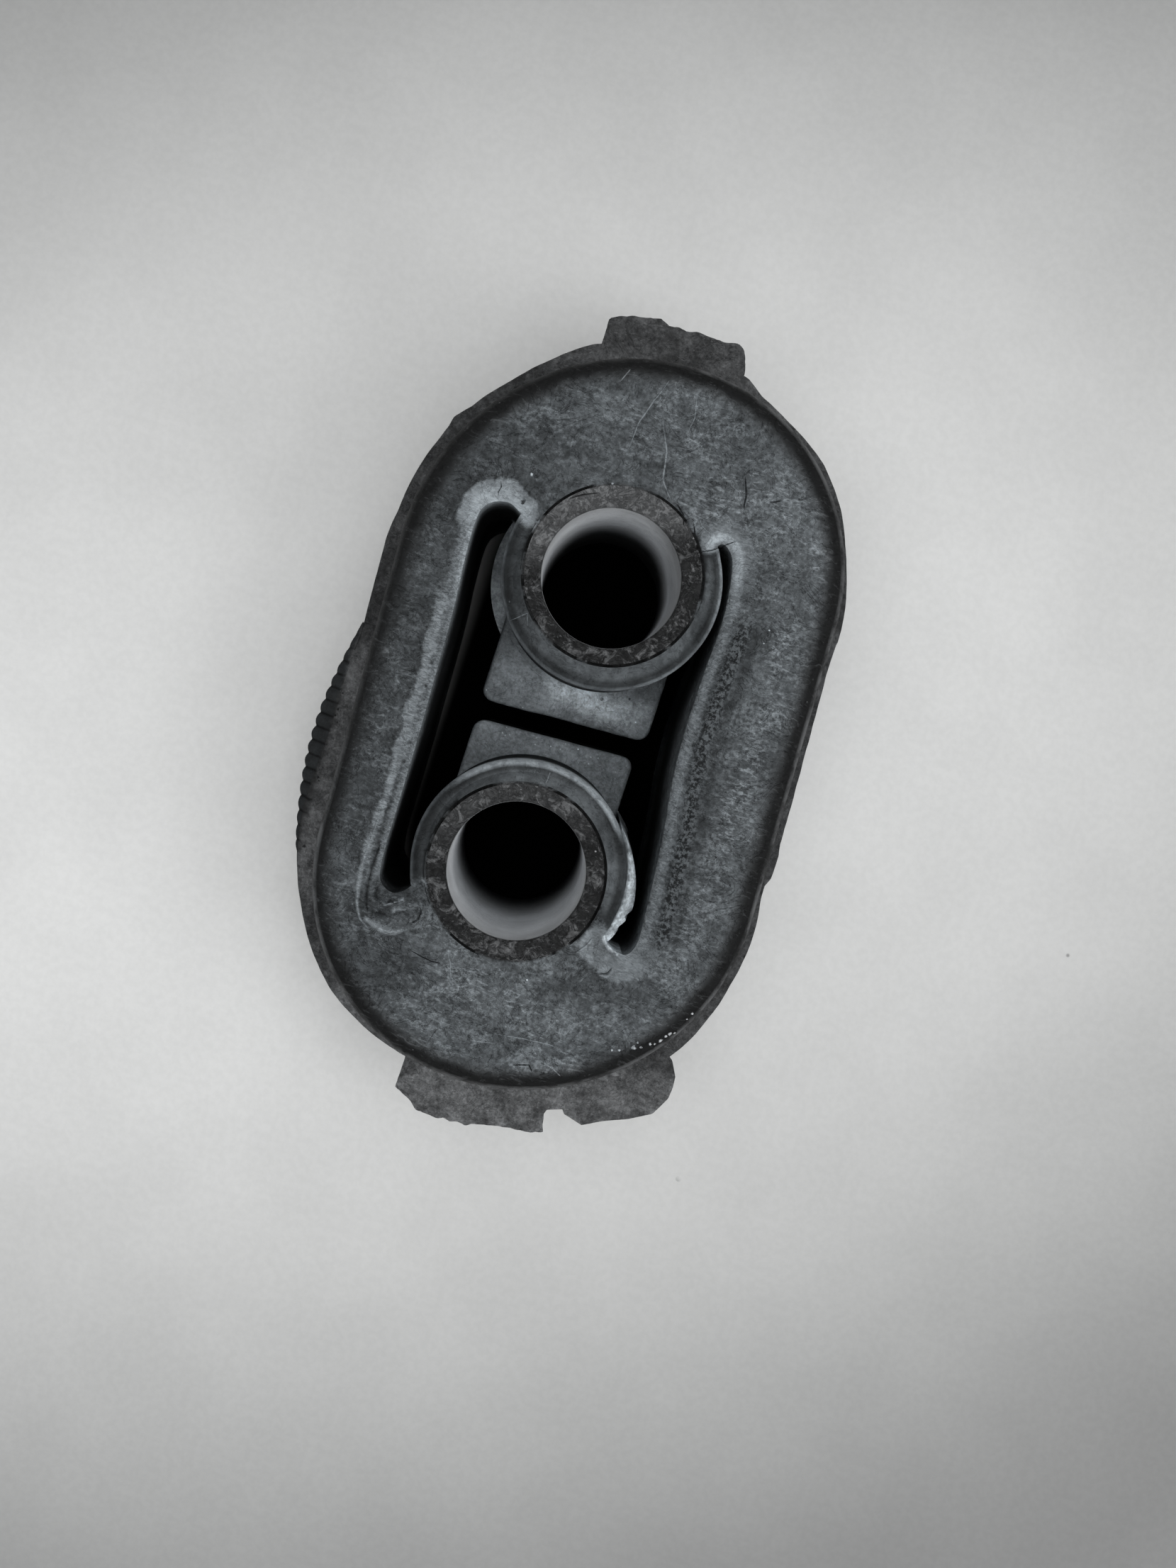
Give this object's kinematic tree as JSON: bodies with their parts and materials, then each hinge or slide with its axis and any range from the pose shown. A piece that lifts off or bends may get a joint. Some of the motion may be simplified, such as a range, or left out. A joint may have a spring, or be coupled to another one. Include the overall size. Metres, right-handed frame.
{
  "type": "exhaust hanger rubber",
  "caption": "Moulded rubber exhaust hanger: racetrack band round bored hubs with bump pads between them, trimmed flash and torn gate tabs on the parting line.",
  "frame": {"origin": "middle of the outer box, flash included, on the plane of the lower hub collars", "axes": "+Y along the line of the bores, from the lower bore to the upper one; +Z out of the upper face, along the bores"},
  "size_m": [0.0464, 0.079, 0.032],
  "materials": {
    "rubber": "aged matt black rubber, dusty grey bloom, smooth moulded faces"
  },
  "bodies": {
    "root": {"hanger_rubber": "rubber"}
  },
  "joints": []
}
